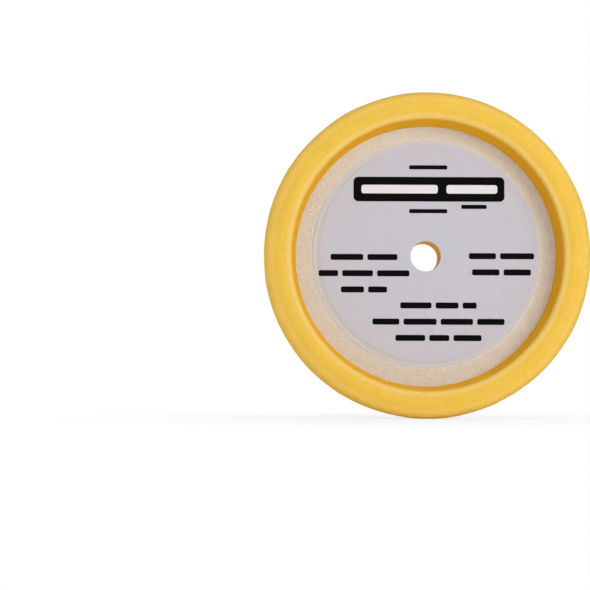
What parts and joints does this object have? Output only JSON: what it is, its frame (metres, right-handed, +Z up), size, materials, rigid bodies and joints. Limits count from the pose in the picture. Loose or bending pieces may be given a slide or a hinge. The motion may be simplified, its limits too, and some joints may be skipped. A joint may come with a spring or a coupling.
{
  "type": "recessed foam polishing pad",
  "caption": "Round foam polishing pad with a recessed back, a hook-and-loop grip face under a peel-off label, and a centring hole.",
  "frame": {"origin": "centre of the grip face, the plane of the loop tips that a backing plate presses on", "axes": "+Y along the pad's axis towards the working face, so the recess and the label look towards -Y; +Z up with the pad on its edge, the label the right way up"},
  "size_m": [0.2032, 0.0509, 0.2032],
  "materials": {
    "yellow_foam": "open-cell polyurethane foam, matt, fine cells",
    "bond_film": "hot-melt adhesive film, translucent",
    "loop_cloth": "warp-knitted nylon ground, cream",
    "loop_pile": "standing nylon loops, cream, slight sheen",
    "label_adhesive": "pressure-sensitive adhesive coat",
    "label_paper": "pale grey coated paper with black print"
  },
  "bodies": {
    "pad": {"foam_pad": "yellow_foam", "bond_film": "bond_film", "loop_cloth": "loop_cloth", "loop_pile": "loop_pile"},
    "label": {"label_adhesive": "label_adhesive", "paper_label": "label_paper"}
  },
  "joints": [
    {"name": "label_peel", "type": "slide", "parent": "pad", "child": "label", "axis": [0, -1, 0], "range_m": [0, 0.06]}
  ]
}
